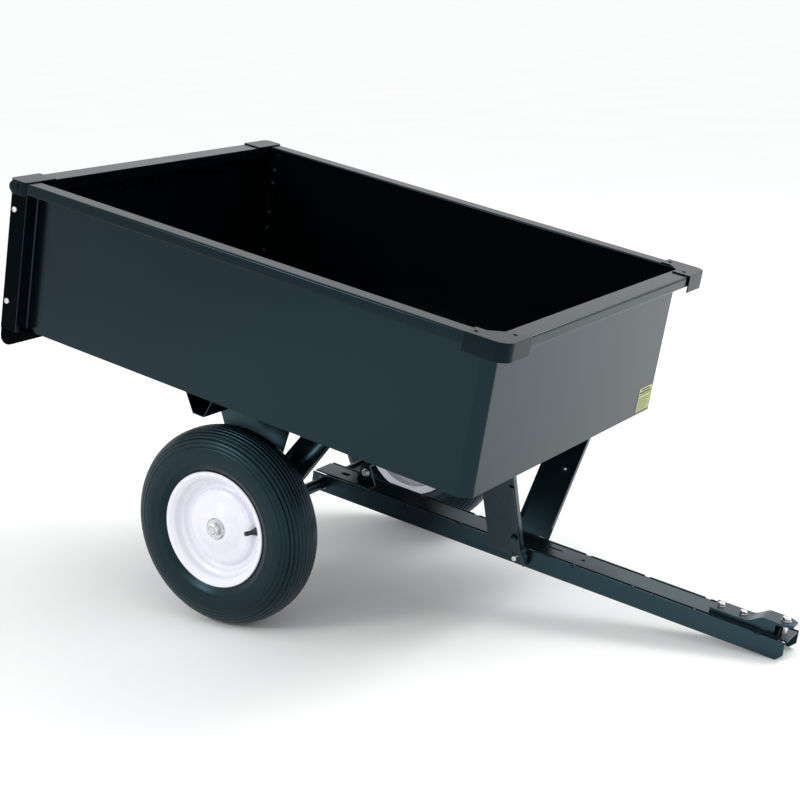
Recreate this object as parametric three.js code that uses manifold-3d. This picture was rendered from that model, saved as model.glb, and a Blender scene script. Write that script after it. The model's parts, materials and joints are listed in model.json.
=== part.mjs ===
// A two-wheeled tow-behind dump cart for a garden tractor, standing on its wheels and its tongue's front end.
// Millimetres. +X points forward to the hitch, +Y to the cart's left, +Z up. The origin is on the ground,
// under the middle of the cart. Left parts are at +Y and right parts at -Y.
//
// Most parts are described in one of two tilted frames that share the axle's centre line as their origin:
// the tongue frame (x along the tongue) and the bed frame (x along the tub's floor).

import * as THREE from "three";
import { mergeVertices } from "three/addons/utils/BufferGeometryUtils.js";
import Module from "manifold-3d";

const wasm = await Module();
wasm.setup();

// ---- driving dimensions ----

const GAP = 0.3; // clearance left between pieces that touch

const TYRE_RADIUS = 197;
const TYRE_HALF_WIDTH = 51;
const WHEEL_Y = 359; // from the cart's middle to each wheel's middle
const RIM_RADIUS = 115; // outer edge of the rim's flanges
const RIM_HALF_WIDTH = 44;
const BEAD_RADIUS = 101;

const AXLE_RADIUS = 12.5;
const AXLE_HOLE_RADIUS = 13;
const AXLE_END_RADIUS = 8; // threaded ends that carry the wheel nuts
const AXLE_END_Y = 410;
const HUB_OUTER_Y = 395;
const HUB_INNER_Y = 311;
const HUB_RADIUS = 21;
const WASHER_STEEL = 2.7;
const WHEEL_NUT_HEIGHT = 9;

const TONGUE_HALF_WIDTH = 37.5;
const TONGUE_TOP_Z = 20;
const TONGUE_HEIGHT = 38;
const TONGUE_STEEL = 3;
const TONGUE_REAR_X = -25;
const TONGUE_FRONT_X = 1018;
const TONGUE_NOSE_CUT = 12; // corner cut off each side wall at the front
const FOLD_NOTCH_FIRST_X = 202;
const FOLD_NOTCH_SPACING = 127;
const FOLD_NOTCH_COUNT = 7;

const HITCH_PIN_X = 1001;
const HITCH_PIN_RADIUS = 6;
const HITCH_PIN_HOLE_RADIUS = 6.6;
const HITCH_BOLT_X = [876, 920];
const STRAP_HALF_WIDTH = 22;
const STRAP_REAR_X = 862;
const STRAP_LOW_HEIGHT = 10; // above the tongue, where it is bolted down
const STRAP_HIGH_HEIGHT = 26; // above the tongue, over the hitch gap

const BED_TO_TONGUE_DEG = 1.48; // the tub's floor dips this much more than the tongue
const SHEET = 2;
const TUB_HALF_WIDTH = 387;
const TUB_FRONT_X = 511;
const TUB_REAR_X = -528;
const TUB_FLOOR_Z = 241.5; // underside of the floor, above the axle
const TUB_CORNER_CUT = 19; // bevel of the two front corners
const RIM_TOP_Z = 545;
const RAIL_OUT_Y = 418; // outer face of the side rails
const RAIL_IN_Y = 381;
const RAIL_FRONT_X = 548;
const RAIL_LIP = 22;
const CAP_LEG = 86; // length of a corner cap along each rail
const CAP_DEPTH = 33;
const CAP_ROUND = 26;

const GATE_REAR_X = -569;
const GATE_PLATE_X = -556;
const GUIDE_SCREW_X = -555;
const GUIDE_SCREW_Z = [300, 488];
const CLAMP_RIVET_Z = [300, 354, 392, 462, 492]; // rivets that hold each guide to its side panel
const SILL_DROP = 44;

const SUPPORT_Y = 258;
const SUPPORT_STEEL = 2.5;
const SUPPORT_BOLT_X = [-96, 108];
const SUPPORT_BOLT_Y = SUPPORT_Y - 20;
const SUPPORT_BOLT_RADIUS = 9;
const SUPPORT_BOLT_HEIGHT = 5;
const LEG_X = 447.5;
const LEG_HALF_WIDTH = 37.5;
const LEG_FOOT_Y = 50;
const LEG_FOOT_Z = 14;
const LEG_SPLAY = Math.atan(0.545);
const LEG_STEEL = 2.5;
const LEG_FLANGE = 9;
const STOP_PIN_X = 470;
const LEG_BOLT = [13.5, 155]; // along the cart and up the leg
const LATCH_PIVOT = [26, 62];

// ---- materials ----

const finish = (color, roughness, metalness) =>
  new THREE.MeshStandardMaterial({ color, roughness, metalness });
const blackPaint = finish(0x15171a, 0.38, 0.25);
const blackCap = finish(0x1a1c1f, 0.5, 0.1);
const zinc = finish(0xc2c5c8, 0.32, 1.0);
const whitePaint = finish(0xeef0f2, 0.22, 0.1);
const tyreRubber = finish(0x141415, 0.72, 0.0);
const valveRubber = finish(0x0c0c0c, 0.6, 0.0);
const decalFilm = finish(0xb9c84a, 0.45, 0.0);

// ---- solids ----

function solid(geometry) {
  const bare = geometry.index ? geometry.toNonIndexed() : geometry.clone();
  bare.deleteAttribute("normal");
  bare.deleteAttribute("uv");
  const merged = mergeVertices(bare, 1e-3);
  return new wasm.Manifold(
    new wasm.Mesh({
      numProp: 3,
      vertProperties: merged.attributes.position.array,
      triVerts: new Uint32Array(merged.index.array),
    }),
  );
}

function geometryOf(made) {
  const mesh = made.getMesh();
  const geometry = new THREE.BufferGeometry();
  const position = new THREE.BufferAttribute(new Float32Array(mesh.vertProperties), 3);
  geometry.setAttribute("position", position);
  geometry.setIndex([...mesh.triVerts]);
  return geometry;
}

const join = (...solids) => solids.reduce((a, b) => a.add(b));
const cut = (body, ...tools) => tools.reduce((a, b) => a.subtract(b), body);

// A box between two corners.
function box(x0, x1, y0, y1, z0, z1) {
  const geometry = new THREE.BoxGeometry(x1 - x0, y1 - y0, z1 - z0);
  geometry.translate((x0 + x1) / 2, (y0 + y1) / 2, (z0 + z1) / 2);
  return solid(geometry);
}

const outline = (points) => new THREE.Shape(points.map(([x, y]) => new THREE.Vector2(x, y)));

function extrude(shape, depth) {
  return new THREE.ExtrudeGeometry(shape, { depth, bevelEnabled: false, curveSegments: 6 });
}

// Outlines drawn in plan (x, y), from the side (x, z) and from the front (y, z).
const planPlate = (shape, z0, z1) => solid(extrude(shape, z1 - z0).translate(0, 0, z0));
const sidePlate = (shape, y0, y1) => solid(extrude(shape, y1 - y0).rotateX(Math.PI / 2).translate(0, y1, 0));
const frontPlate = (shape, x0, x1) =>
  solid(extrude(shape, x1 - x0).rotateX(Math.PI / 2).rotateZ(Math.PI / 2).translate(x0, 0, 0));

// A solid turned round the Y axis from [radius, y] points.
function turned(points, segments = 36) {
  const profile = points.map(([r, y]) => new THREE.Vector2(r, y));
  if (THREE.ShapeUtils.area(profile) < 0) profile.reverse();
  profile.push(profile[0].clone());
  return solid(new THREE.LatheGeometry(profile, segments));
}

const ring = (inner, outer, y0, y1, segments) =>
  turned([[inner, y0], [outer, y0], [outer, y1], [inner, y1]], segments);

// Cylinders along Y and along Z.
function rodY(x, z, radius, y0, y1, sides = 24) {
  const geometry = new THREE.CylinderGeometry(radius, radius, y1 - y0, sides);
  return solid(geometry.translate(x, (y0 + y1) / 2, z));
}
function rodZ(x, y, radius, z0, z1, sides = 24) {
  const geometry = new THREE.CylinderGeometry(radius, radius, z1 - z0, sides);
  return solid(geometry.rotateX(Math.PI / 2).translate(x, y, (z0 + z1) / 2));
}

const mirrored = (body) => body.mirror([0, 1, 0]);
const SIDES = [["left", 1], ["right", -1]];
const onSide = (body, side) => (side > 0 ? body : mirrored(body)); // bodies are drawn at +Y

function addPart(group, name, body, material) {
  const mesh = new THREE.Mesh(geometryOf(body), material);
  mesh.name = name;
  group.add(mesh);
}

// ---- wheels (drawn at +Y, about the axle) ----

function tyre() {
  const outer = [];
  const steps = 9;
  const crown = 52; // height of the sidewall's curve
  for (let i = 0; i <= steps; i++) {
    const a = -Math.PI / 2 + (Math.PI * i) / steps;
    const squarish = (v) => Math.sign(v) * Math.abs(v) ** 0.78;
    outer.push([
      TYRE_RADIUS - crown + crown * squarish(Math.cos(a)),
      WHEEL_Y + TYRE_HALF_WIDTH * squarish(Math.sin(a)),
    ]);
  }
  const bead = RIM_HALF_WIDTH - 4;
  const wall = 8;
  const inner = [
    [BEAD_RADIUS + GAP, WHEEL_Y + bead],
    [BEAD_RADIUS + GAP, WHEEL_Y + bead - 9],
    [BEAD_RADIUS + 22, WHEEL_Y + bead - 6],
    [TYRE_RADIUS - crown, WHEEL_Y + TYRE_HALF_WIDTH - wall],
    [TYRE_RADIUS - 1.6 * wall, WHEEL_Y + TYRE_HALF_WIDTH * 0.5],
    [TYRE_RADIUS - 1.6 * wall, WHEEL_Y - TYRE_HALF_WIDTH * 0.5],
    [TYRE_RADIUS - crown, WHEEL_Y - TYRE_HALF_WIDTH + wall],
    [BEAD_RADIUS + 22, WHEEL_Y - bead + 6],
    [BEAD_RADIUS + GAP, WHEEL_Y - bead + 9],
    [BEAD_RADIUS + GAP, WHEEL_Y - bead],
  ];
  const aboveFlange = RIM_RADIUS + 4;
  return turned([
    ...outer,
    [aboveFlange, WHEEL_Y + RIM_HALF_WIDTH + 1],
    [RIM_RADIUS + 1.5, WHEEL_Y + bead],
    ...inner,
    [RIM_RADIUS + 1.5, WHEEL_Y - bead],
    [aboveFlange, WHEEL_Y - RIM_HALF_WIDTH - 1],
  ]);
}

function wheelRim() {
  const w = RIM_HALF_WIDTH;
  const y = WHEEL_Y;
  const well = 88;
  const barrel = turned([
    [RIM_RADIUS, y - w], [RIM_RADIUS, y - w + 3], [BEAD_RADIUS, y - w + 3.7], [BEAD_RADIUS, y - 24],
    [well, y - 16], [well, y + 16], [BEAD_RADIUS, y + 24], [BEAD_RADIUS, y + w - 3.7],
    [RIM_RADIUS, y + w - 3], [RIM_RADIUS, y + w], [BEAD_RADIUS - 2.5, y + w], [BEAD_RADIUS - 2.5, y + 25],
    [well - 2.5, y + 17], [well - 2.5, y - 17], [BEAD_RADIUS - 2.5, y - 25], [BEAD_RADIUS - 2.5, y - w],
  ]);
  const hubBore = HUB_RADIUS + GAP;
  const disc = turned([
    [well - 1, y + 12], [76, y + 12], [70, y + 24], [40, y + 34], [hubBore, y + 36],
    [hubBore, y + 33], [39, y + 31], [68, y + 21], [74, y + 9], [well - 1, y + 9],
  ]);
  const valveHole = rodY(...valvePlace(), 5.5, y, y + 40, 16);
  return cut(join(barrel, disc), valveHole);
}

function valvePlace() {
  const radius = 77;
  const angle = THREE.MathUtils.degToRad(14);
  return [radius * Math.cos(angle), radius * Math.sin(angle)];
}

function valveStem() {
  const [x, z] = valvePlace();
  const stem = turned([
    [0, 364], [7.5, 364], [7.5, 367], [5, 367], [5, 376], [4.2, 379], [4.2, 396], [3.4, 398], [0, 398],
  ], 16);
  return stem.translate([x, 0, z]);
}

const wheelHub = () => turned([
  [AXLE_HOLE_RADIUS, HUB_INNER_Y], [HUB_RADIUS, HUB_INNER_Y], [HUB_RADIUS, HUB_OUTER_Y - 6],
  [HUB_RADIUS - 3, HUB_OUTER_Y], [AXLE_HOLE_RADIUS, HUB_OUTER_Y],
]);

// ---- axle ----

function axle() {
  return join(
    rodY(0, 0, AXLE_RADIUS, -HUB_OUTER_Y, HUB_OUTER_Y),
    rodY(0, 0, AXLE_END_RADIUS, -AXLE_END_Y, AXLE_END_Y),
  );
}

const axleCollar = () => ring(AXLE_RADIUS + GAP, HUB_RADIUS, HUB_INNER_Y - 9, HUB_INNER_Y - GAP, 28);
const washerSeat = HUB_OUTER_Y + GAP;
const nutSeat = washerSeat + WASHER_STEEL + GAP;
const axleWasher = () => ring(AXLE_END_RADIUS + GAP, 19, washerSeat, washerSeat + WASHER_STEEL, 28);

function axleNut() {
  const cornerRadius = 13.9;
  return cut(
    rodY(0, 0, cornerRadius, nutSeat, nutSeat + WHEEL_NUT_HEIGHT, 6),
    rodY(0, 0, AXLE_END_RADIUS + GAP, nutSeat - 1, nutSeat + WHEEL_NUT_HEIGHT + 1),
  );
}

// ---- tongue and hitch (tongue frame) ----

function tongue() {
  const w = TONGUE_HALF_WIDTH;
  const low = TONGUE_TOP_Z - TONGUE_HEIGHT;
  const t = TONGUE_STEEL;
  const bend = 3;
  const section = outline([
    [-w, low], [-w + t, low], [-w + t, TONGUE_TOP_Z - t], [w - t, TONGUE_TOP_Z - t], [w - t, low], [w, low],
    [w, TONGUE_TOP_Z - bend], [w - bend, TONGUE_TOP_Z], [-w + bend, TONGUE_TOP_Z], [-w, TONGUE_TOP_Z - bend],
  ]);
  let body = frontPlate(section, TONGUE_REAR_X, TONGUE_FRONT_X);
  const nose = outline([
    [TONGUE_FRONT_X + 1, low - 1], [TONGUE_FRONT_X + 1, low + TONGUE_NOSE_CUT],
    [TONGUE_FRONT_X - TONGUE_NOSE_CUT, low - 1],
  ]);
  body = cut(body, sidePlate(nose, -w - 1, w + 1));
  for (let i = 0; i < FOLD_NOTCH_COUNT; i++) {
    const x = FOLD_NOTCH_FIRST_X + i * FOLD_NOTCH_SPACING;
    for (const side of [-1, 1]) {
      const edge = side * w;
      const [y0, y1] = [edge - 3, edge + 3];
      body = cut(body, box(x - 7, x + 7, y0, y1, TONGUE_TOP_Z - 2.6, TONGUE_TOP_Z + 1));
    }
  }
  const holeZ = (x, r) => rodZ(x, 0, r, TONGUE_TOP_Z - 6, TONGUE_TOP_Z + 2, 20);
  return cut(
    body,
    rodY(0, 0, AXLE_HOLE_RADIUS, -w - 1, w + 1),
    rodY(STOP_PIN_X, 0, 5.4, -w - 1, w + 1, 16),
    holeZ(32, 6.5), holeZ(588, 4.5), holeZ(HITCH_PIN_X, HITCH_PIN_HOLE_RADIUS),
    ...HITCH_BOLT_X.map((x) => holeZ(x, 5)),
    box(506, 540, 4, 9, TONGUE_TOP_Z - 6, TONGUE_TOP_Z + 2),
  );
}

function hitchStrap() {
  const base = TONGUE_TOP_Z + GAP;
  const low = TONGUE_TOP_Z + STRAP_LOW_HEIGHT;
  const high = TONGUE_TOP_Z + STRAP_HIGH_HEIGHT;
  const t = 5;
  const rise = (z) => {
    const points = [];
    for (let i = 0; i <= 6; i++) {
      const s = i / 6;
      points.push([932 + 34 * s, z + (high - low) * s * s * (3 - 2 * s)]);
    }
    return points;
  };
  const top = [[STRAP_REAR_X, low], ...rise(low), [1020, high]];
  const under = [[1020, high - t], ...rise(low - t).reverse(), [STRAP_REAR_X, low - t]];
  const w = STRAP_HALF_WIDTH;
  const plate = sidePlate(outline([...top, ...under]), -w, w);
  const wallEnd = 989;
  const wallTop = [[STRAP_REAR_X, low - 1], ...rise(low - 1), [wallEnd, high - 1]];
  const wallShape = outline([...wallTop, [wallEnd, base], [STRAP_REAR_X, base]]);
  const wall = sidePlate(wallShape, w - 3, w);
  const clip = outline([[1000, w + 1], [1021, w - 11], [1021, w + 1]]);
  const corner = planPlate(clip, base, high + 2);
  const hole = (x, r) => rodZ(x, 0, r, base - 1, high + 2, 20);
  return cut(
    join(plate, wall, mirrored(wall)),
    corner,
    mirrored(corner),
    hole(HITCH_PIN_X, HITCH_PIN_HOLE_RADIUS),
    ...HITCH_BOLT_X.map((x) => hole(x, 5)),
  );
}

function hitchBolt(x) {
  const seat = TONGUE_TOP_Z + STRAP_LOW_HEIGHT + GAP;
  return join(
    rodZ(x, 0, 7.5, seat, seat + 6, 6),
    rodZ(x, 0, 4.7, TONGUE_TOP_Z - 14, seat + 1, 16),
  );
}

function hitchNut(x) {
  const seat = TONGUE_TOP_Z - TONGUE_STEEL - GAP;
  return cut(rodZ(x, 0, 8.5, seat - 7, seat, 6), rodZ(x, 0, 5, seat - 8, seat + 1, 16));
}

function hitchPin() {
  const seat = TONGUE_TOP_Z + STRAP_HIGH_HEIGHT + GAP;
  return join(
    rodZ(HITCH_PIN_X, 0, HITCH_PIN_RADIUS, TONGUE_TOP_Z - 22, seat + 1),
    rodZ(HITCH_PIN_X, 0, 9.6, seat, seat + 7, 6),
  );
}

// A bent gusset that stands on the tongue just ahead of the axle.
function tongueGusset() {
  const base = TONGUE_TOP_Z + GAP;
  const foot = box(62, 112, -34, -8, base, base + 3);
  const web = sidePlate(outline([[66, base], [112, base], [92, base + 40], [74, base + 40]]), -11, -8);
  const brow = box(74, 92, -11, 12, base + 37, base + 40);
  const hole = rodY(86, base + 24, 5, -12, -7, 16);
  const footHole = rodZ(88, -21, 5, base - 1, base + 5, 16);
  return cut(join(foot, web, brow), hole, footHole);
}

function gussetBolt() {
  const z = TONGUE_TOP_Z + GAP + 24;
  return join(rodY(86, z, 8, -17.5, -11.3, 6), rodY(86, z, 4.7, -17, -2, 16));
}

const stopPin = () => join(
  rodY(STOP_PIN_X, 0, 5, -60, 60, 16),
  rodY(STOP_PIN_X, 0, 8, 59, 66, 16),
);

// ---- tub (bed frame, drawn at +Y where there are two) ----

// The floor lies between the walls, and nothing stands on it.
function tubFloor() {
  const w = TUB_HALF_WIDTH - SHEET - GAP;
  const x1 = TUB_FRONT_X - SHEET - GAP;
  const c = TUB_CORNER_CUT - 1;
  const plan = outline([
    [TUB_REAR_X, -w], [x1 - c, -w], [x1, -w + c], [x1, w - c], [x1 - c, w], [TUB_REAR_X, w],
  ]);
  return planPlate(plan, TUB_FLOOR_Z, TUB_FLOOR_Z + SHEET);
}

function sidePanel() {
  const out = TUB_HALF_WIDTH;
  const front = TUB_FRONT_X - TUB_CORNER_CUT - GAP;
  const railFront = TUB_FRONT_X - 2.5;
  return join(
    box(TUB_REAR_X, front, out - SHEET, out, TUB_FLOOR_Z, RIM_TOP_Z - 1),
    box(TUB_REAR_X, railFront, RAIL_IN_Y, RAIL_OUT_Y, RIM_TOP_Z - SHEET, RIM_TOP_Z),
    box(TUB_REAR_X, railFront, RAIL_OUT_Y - SHEET, RAIL_OUT_Y, RIM_TOP_Z - RAIL_LIP, RIM_TOP_Z),
    box(TUB_REAR_X, TUB_REAR_X + SHEET, out - 1, RAIL_OUT_Y, TUB_FLOOR_Z, RIM_TOP_Z - 1),
  );
}

function frontPanel() {
  const x = TUB_FRONT_X;
  const w = TUB_HALF_WIDTH;
  const c = TUB_CORNER_CUT;
  const t = SHEET;
  const outer = [[x - c, -w], [x, -w + c], [x, w - c], [x - c, w]];
  const inner = [[x - c, -w + t], [x - t, -w + c + t * 0.42], [x - t, w - c - t * 0.42], [x - c, w - t]];
  const web = planPlate(outline([...outer, ...inner.reverse()]), TUB_FLOOR_Z, RIM_TOP_Z - SHEET - GAP);
  const railY = RAIL_IN_Y - GAP - 1;
  const railIn = TUB_FRONT_X - t;
  return join(
    web,
    box(railIn, x, -w + c + 1, w - c - 1, RIM_TOP_Z - 10, RIM_TOP_Z),
    box(railIn, RAIL_FRONT_X, -railY, railY, RIM_TOP_Z - SHEET, RIM_TOP_Z),
    box(RAIL_FRONT_X - t, RAIL_FRONT_X, -railY, railY, RIM_TOP_Z - RAIL_LIP, RIM_TOP_Z),
  );
}

// An L-shaped cap that joins two rails: a thin top over both and a rounded skirt outside them.
function cornerCap() {
  const x1 = RAIL_FRONT_X + 4;
  const y1 = RAIL_OUT_Y + 4;
  const x0 = x1 - CAP_LEG;
  const y0 = y1 - CAP_LEG;
  const r = CAP_ROUND;
  const rounded = (inset) => {
    const shape = new THREE.Shape();
    const [xa, ya, ra] = [x1 - inset, y1 - inset, r - inset];
    shape.moveTo(x0, ya);
    shape.lineTo(x0, RAIL_IN_Y);
    shape.lineTo(TUB_FRONT_X - 24, RAIL_IN_Y);
    shape.lineTo(TUB_FRONT_X, RAIL_IN_Y - 24);
    shape.lineTo(TUB_FRONT_X, y0);
    shape.lineTo(xa, y0);
    shape.lineTo(xa, ya - ra);
    shape.absarc(xa - ra, ya - ra, ra, 0, Math.PI / 2, false);
    shape.closePath();
    return shape;
  };
  const skirtLow = RIM_TOP_Z - CAP_DEPTH;
  const whole = planPlate(rounded(0), skirtLow, RIM_TOP_Z + 2.6);
  const hollow = planPlate(rounded(2.6), skirtLow - 1, RIM_TOP_Z + GAP);
  const webRoom = box(
    x0 - 1, TUB_FRONT_X + 1, RAIL_IN_Y - 60, TUB_HALF_WIDTH + 1, skirtLow - 1, RIM_TOP_Z + GAP,
  );
  const openLegs = [
    box(x0 - 1, x0 + 1, RAIL_IN_Y - 1, RAIL_OUT_Y + 1.4, skirtLow - 1, RIM_TOP_Z + GAP),
    box(TUB_FRONT_X - 1, RAIL_FRONT_X + 1.4, y0 - 1, y0 + 1, skirtLow - 1, RIM_TOP_Z + GAP),
  ];
  return cut(whole, hollow, webRoom, ...openLegs);
}

// ---- tailgate ----

function gateGuide() {
  const out = RAIL_OUT_Y;
  const rear = GATE_REAR_X + 3;
  const front = TUB_REAR_X - GAP;
  const z0 = TUB_FLOOR_Z + GAP;
  const z1 = RIM_TOP_Z - RAIL_LIP - 4;
  const channel = join(
    box(rear, front, out - SHEET, out, z0, z1),
    box(rear, rear + SHEET, out - 32, out, z0, z1),
  );
  const holes = GUIDE_SCREW_Z.map((z) => rodY(GUIDE_SCREW_X, z, 3, out - 4, out + 1, 12));
  return cut(channel, ...holes);
}

// A flat bar with five rivet heads inside the tub, which clamps the guide to the side panel.
function guideBar() {
  const y = TUB_HALF_WIDTH - SHEET - GAP;
  const x0 = TUB_REAR_X + 4;
  const bar = box(x0, x0 + 22, y - 2.5, y, TUB_FLOOR_Z + 14, RIM_TOP_Z - 14);
  const heads = CLAMP_RIVET_Z.map((z) => rodY(x0 + 11, z, 5.5, y - 6, y - 2, 10));
  return join(bar, ...heads);
}

function guideScrew(z) {
  const x = GUIDE_SCREW_X;
  return join(
    rodY(x, z, 6, RAIL_OUT_Y + GAP, RAIL_OUT_Y + 3.5, 16),
    rodY(x, z, 2.6, RAIL_OUT_Y - 1.7, RAIL_OUT_Y + 1, 12),
  );
}

// One folded sheet: a stiffening lip at the foot, the plate, and a down-turned roll along the top.
function tailgate() {
  const w = RAIL_OUT_Y - SHEET - 1.5;
  const low = TUB_FLOOR_Z + GAP;
  const [x, t] = [GATE_PLATE_X, SHEET];
  const [rear, front] = [GATE_REAR_X, TUB_REAR_X - 3];
  const [top, lip] = [RIM_TOP_Z, RIM_TOP_Z - RAIL_LIP];
  const fold = outline([
    [x, low], [x, top - t], [rear + t, top - t], [rear + t, lip], [rear, lip], [rear, top],
    [front, top], [front, lip], [front - t, lip], [front - t, top - t], [x + t, top - t],
    [x + t, low + t], [x + 20, low + t], [x + 20, low],
  ]);
  const edge = box(x + 0.5, x + 20, w - t, w - 0.5, low + 0.5, lip - 4);
  return join(sidePlate(fold, -w, w), edge, mirrored(edge));
}

function gateCap() {
  const rear = GATE_REAR_X - 4;
  const front = TUB_REAR_X - 1;
  const y1 = RAIL_OUT_Y + 4;
  const y0 = y1 - CAP_LEG;
  const r = 15;
  const plan = new THREE.Shape();
  plan.moveTo(rear, y0);
  plan.lineTo(front, y0);
  plan.lineTo(front, y1 - 8);
  plan.absarc(front - 8, y1 - 8, 8, 0, Math.PI / 2, false);
  plan.lineTo(rear + r, y1);
  plan.absarc(rear + r, y1 - r, r, Math.PI / 2, Math.PI, false);
  plan.closePath();
  const low = RIM_TOP_Z - RAIL_LIP;
  const whole = planPlate(plan, low - 4, RIM_TOP_Z + 2.6);
  const room = box(
    GATE_REAR_X - GAP, TUB_REAR_X - 3 + GAP, y0 - 1, RAIL_OUT_Y - 3, low - 5, RIM_TOP_Z + GAP,
  );
  const open = box(rear - 1, front + 1, y0 - 1, RAIL_OUT_Y - 30, low - 5, RIM_TOP_Z - 6);
  return cut(whole, room, open);
}

function rearSill() {
  const top = TUB_FLOOR_Z - GAP;
  const rear = GATE_REAR_X;
  const w = 413;
  const plan = new THREE.Shape();
  plan.moveTo(rear, -w);
  plan.quadraticCurveTo(rear + 40, -w - 2, rear + 66, -TUB_HALF_WIDTH);
  plan.lineTo(rear + 66, TUB_HALF_WIDTH);
  plan.quadraticCurveTo(rear + 40, w + 2, rear, w);
  plan.closePath();
  const r = 30;
  const low = top - SILL_DROP;
  const face = new THREE.Shape();
  face.moveTo(-w, top);
  face.lineTo(-w, low + r);
  face.absarc(-w + r, low + r, r, Math.PI, Math.PI * 1.5, false);
  face.lineTo(w - r, low);
  face.absarc(w - r, low + r, r, -Math.PI / 2, 0, false);
  face.lineTo(w, top);
  face.closePath();
  return join(planPlate(plan, top - SHEET, top), frontPlate(face, rear, rear + SHEET));
}

// ---- under the tub ----

// A V-shaped side plate with turned-in edges, which carries the tub on the axle.
function axleSupport() {
  const y = SUPPORT_Y;
  const t = SUPPORT_STEEL;
  const top = TUB_FLOOR_Z - GAP;
  const [rearTop, frontTop] = [-157, 168];
  const web = outline([
    [rearTop, top], [-27, -8], [-16, -24], [16, -24], [29, -8], [frontTop, top],
  ]);
  const window = outline([[52, top - 13], [34, 118], [46, 112], [104, top - 13]]);
  const flangeDepth = 16;
  const rearEdge = outline([[rearTop, top], [-27, -8], [-27 + t, -8], [rearTop + t, top]]);
  const frontEdge = outline([[frontTop, top], [29, -8], [29 - t, -8], [frontTop - t, top]]);
  const plate = cut(sidePlate(web, y - t, y), sidePlate(window, y - t - 1, y + 1));
  return cut(
    join(
      plate,
      sidePlate(rearEdge, y - flangeDepth, y),
      sidePlate(frontEdge, y - flangeDepth, y),
      box(rearTop + 3, frontTop - 3, y - 34, y, top - t, top),
    ),
    rodY(0, 0, AXLE_HOLE_RADIUS, y - flangeDepth - 1, y + 1),
  );
}

function supportBrace() {
  const y = SUPPORT_Y - 8;
  const top = TUB_FLOOR_Z - 4;
  const strap = outline([[14, 92], [34, 84], [126, top], [102, top]]);
  return sidePlate(strap, y - SUPPORT_STEEL, y);
}

// A six-sided head under an axle support's top flange.
function supportBolt(x) {
  const seat = TUB_FLOOR_Z - GAP - SUPPORT_STEEL - GAP;
  return rodZ(x, SUPPORT_BOLT_Y, SUPPORT_BOLT_RADIUS, seat - SUPPORT_BOLT_HEIGHT, seat, 6);
}

// A hat-section stiffener under the floor, between an axle support and the tub's side.
function outrigger() {
  const top = TUB_FLOOR_Z - GAP;
  const low = 198;
  const t = SHEET;
  const section = outline([
    [-150, top], [-128, top], [-103, low + t], [-79, low + t], [-62, top], [-42, top], [-42, top - t],
    [-60.5, top - t], [-77.5, low], [-104.5, low], [-129.5, top - t], [-150, top - t],
  ]);
  return sidePlate(section, SUPPORT_Y + GAP, TUB_HALF_WIDTH - 15);
}

// Places a body drawn in a leg's own frame (x along the cart, y outward, z up the leg) on the left leg.
const onLeg = (body) => body
  .rotate([-THREE.MathUtils.radToDeg(LEG_SPLAY), 0, 0])
  .translate([LEG_X, LEG_FOOT_Y, LEG_FOOT_Z]);

// One leg of the stand: a channel that splays out from beside the tongue to the tub's floor.
function standLeg() {
  const w = LEG_HALF_WIDTH;
  const t = LEG_STEEL;
  const cosine = Math.cos(LEG_SPLAY);
  const top = TUB_FLOOR_Z - GAP;
  const length = (top - LEG_FOOT_Z) / cosine - 2;
  const stopSlot = STOP_PIN_X - LEG_X;
  const web = cut(
    box(-w, w, -t / 2, t / 2, 0, length),
    box(stopSlot - 7, stopSlot + 7, -t, t, -1, 11),
  );
  const edge = (x0, x1) => box(x0, x1, -LEG_FLANGE, t / 2, 34, length - 14);
  const leg = onLeg(join(web, edge(-w, -w + t), edge(w - t, w)));
  const topY = LEG_FOOT_Y + (top - LEG_FOOT_Z) * Math.tan(LEG_SPLAY);
  const foot = box(LEG_X - w, LEG_X + w, topY - 40, topY, top - t, top);
  return join(leg, foot);
}

function legBolt() {
  const [x, z] = LEG_BOLT;
  const face = LEG_STEEL / 2 + GAP;
  return onLeg(rodY(x, z, 7.5, -face - 5.5, -face, 6));
}

function latchLever() {
  const y0 = LEG_STEEL / 2 + 0.5;
  const shape = new THREE.Shape();
  shape.moveTo(27, 205);
  shape.lineTo(36, 205);
  shape.lineTo(36.5, 34);
  shape.lineTo(45, -6);
  shape.quadraticCurveTo(45, -16, 38, -17);
  shape.lineTo(34, -10);
  shape.lineTo(35, 8);
  shape.lineTo(17, 38);
  shape.lineTo(16, 70);
  shape.lineTo(24, 84);
  shape.closePath();
  const [x, z] = LATCH_PIVOT;
  return onLeg(cut(sidePlate(shape, y0, y0 + 3), rodY(x, z, 5.3, y0 - 1, y0 + 4, 16)));
}

function latchBolt() {
  const [x, z] = LATCH_PIVOT;
  const face = LEG_STEEL / 2 + 0.5 + 3 + GAP;
  return onLeg(join(
    rodY(x, z, 8, face + 1.6, face + 7, 6),
    rodY(x, z, 4.8, LEG_STEEL / 2 + GAP, face + 2, 16),
  ));
}

// ---- the cart ----

const noseDrop = () => {
  const x = TONGUE_FRONT_X - TONGUE_NOSE_CUT;
  const z = TONGUE_TOP_Z - TONGUE_HEIGHT;
  return Math.asin(TYRE_RADIUS / Math.hypot(x, z)) + Math.atan2(z, x);
};

const tonguePitch = noseDrop();
const bedPitch = tonguePitch + THREE.MathUtils.degToRad(BED_TO_TONGUE_DEG);

const cart = new THREE.Group();
const tongueFrame = new THREE.Group();
tongueFrame.rotation.y = tonguePitch;
const bedFrame = new THREE.Group();
bedFrame.rotation.y = bedPitch;
cart.add(tongueFrame, bedFrame);

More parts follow.
